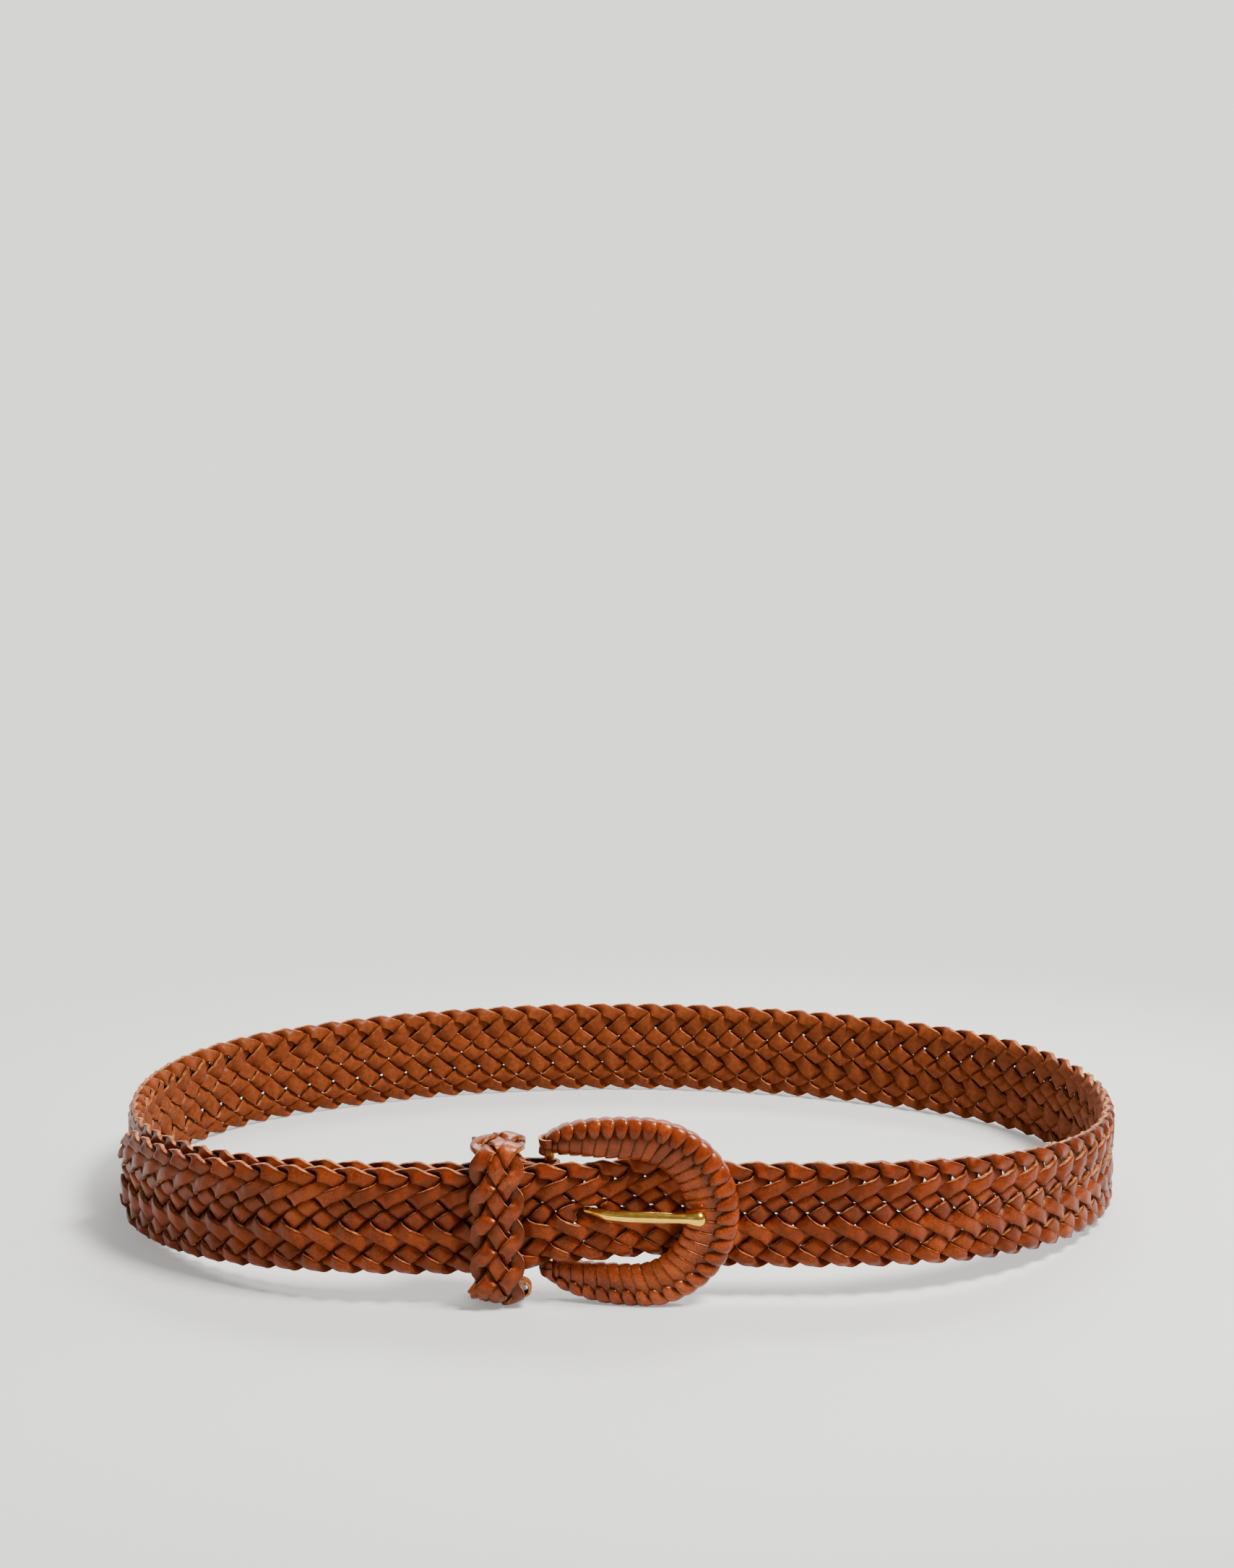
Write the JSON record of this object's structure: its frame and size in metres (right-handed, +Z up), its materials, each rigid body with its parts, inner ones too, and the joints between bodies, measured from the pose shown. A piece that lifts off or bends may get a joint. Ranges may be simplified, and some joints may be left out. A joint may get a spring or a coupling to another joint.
{
  "type": "braided leather belt",
  "caption": "Braided leather belt buckled into a standing loop, with a lace-wrapped buckle, metal prong and plaited keeper.",
  "frame": {"origin": "under the middle of the buckled belt, on the surface it stands on", "axes": "+X to the right and along the loop's longer way, +Y from the buckle to the back of the loop, +Z up along the strap's width"},
  "size_m": [0.3376, 0.2298, 0.0591],
  "materials": {
    "strap_leather": "semi-gloss vegetable-tanned lace, paler at the cut edges",
    "chape_leather": "smooth, semi-matte",
    "wrap_leather": "semi-gloss lace, wound tight",
    "keeper_leather": "semi-gloss lace",
    "thread": "waxed thread",
    "brass": "polished"
  },
  "bodies": {
    "strap": {"strap_lace_01": "strap_leather", "strap_lace_02": "strap_leather", "strap_lace_03": "strap_leather", "strap_lace_04": "strap_leather", "strap_lace_05": "strap_leather", "strap_lace_06": "strap_leather", "strap_lace_07": "strap_leather", "strap_lace_08": "strap_leather", "strap_lace_09": "strap_leather", "strap_lace_10": "strap_leather", "chape": "chape_leather", "chape_thread": "thread"},
    "buckle": {"buckle_frame": "brass", "buckle_lace": "wrap_leather"},
    "prong": {"prong": "brass"},
    "keeper": {"keeper_lace_1": "keeper_leather", "keeper_lace_2": "keeper_leather", "keeper_lace_3": "keeper_leather", "keeper_lace_4": "keeper_leather", "keeper_tie": "keeper_leather"}
  },
  "joints": [
    {"name": "buckle_swing", "type": "hinge", "parent": "strap", "child": "buckle", "pos_m": [-0.0222, -0.10112, 0.02954], "axis": [0, 0, -1], "range_deg": [0, 5]},
    {"name": "prong_pivot", "type": "hinge", "parent": "buckle", "child": "prong", "pos_m": [-0.0222, -0.10112, 0.02954], "axis": [0, 0, -1], "range_deg": [0, 8]},
    {"name": "keeper_slide", "type": "slide", "parent": "strap", "child": "keeper", "axis": [1, 0, 0], "range_m": [-0.032, 0.003]}
  ]
}
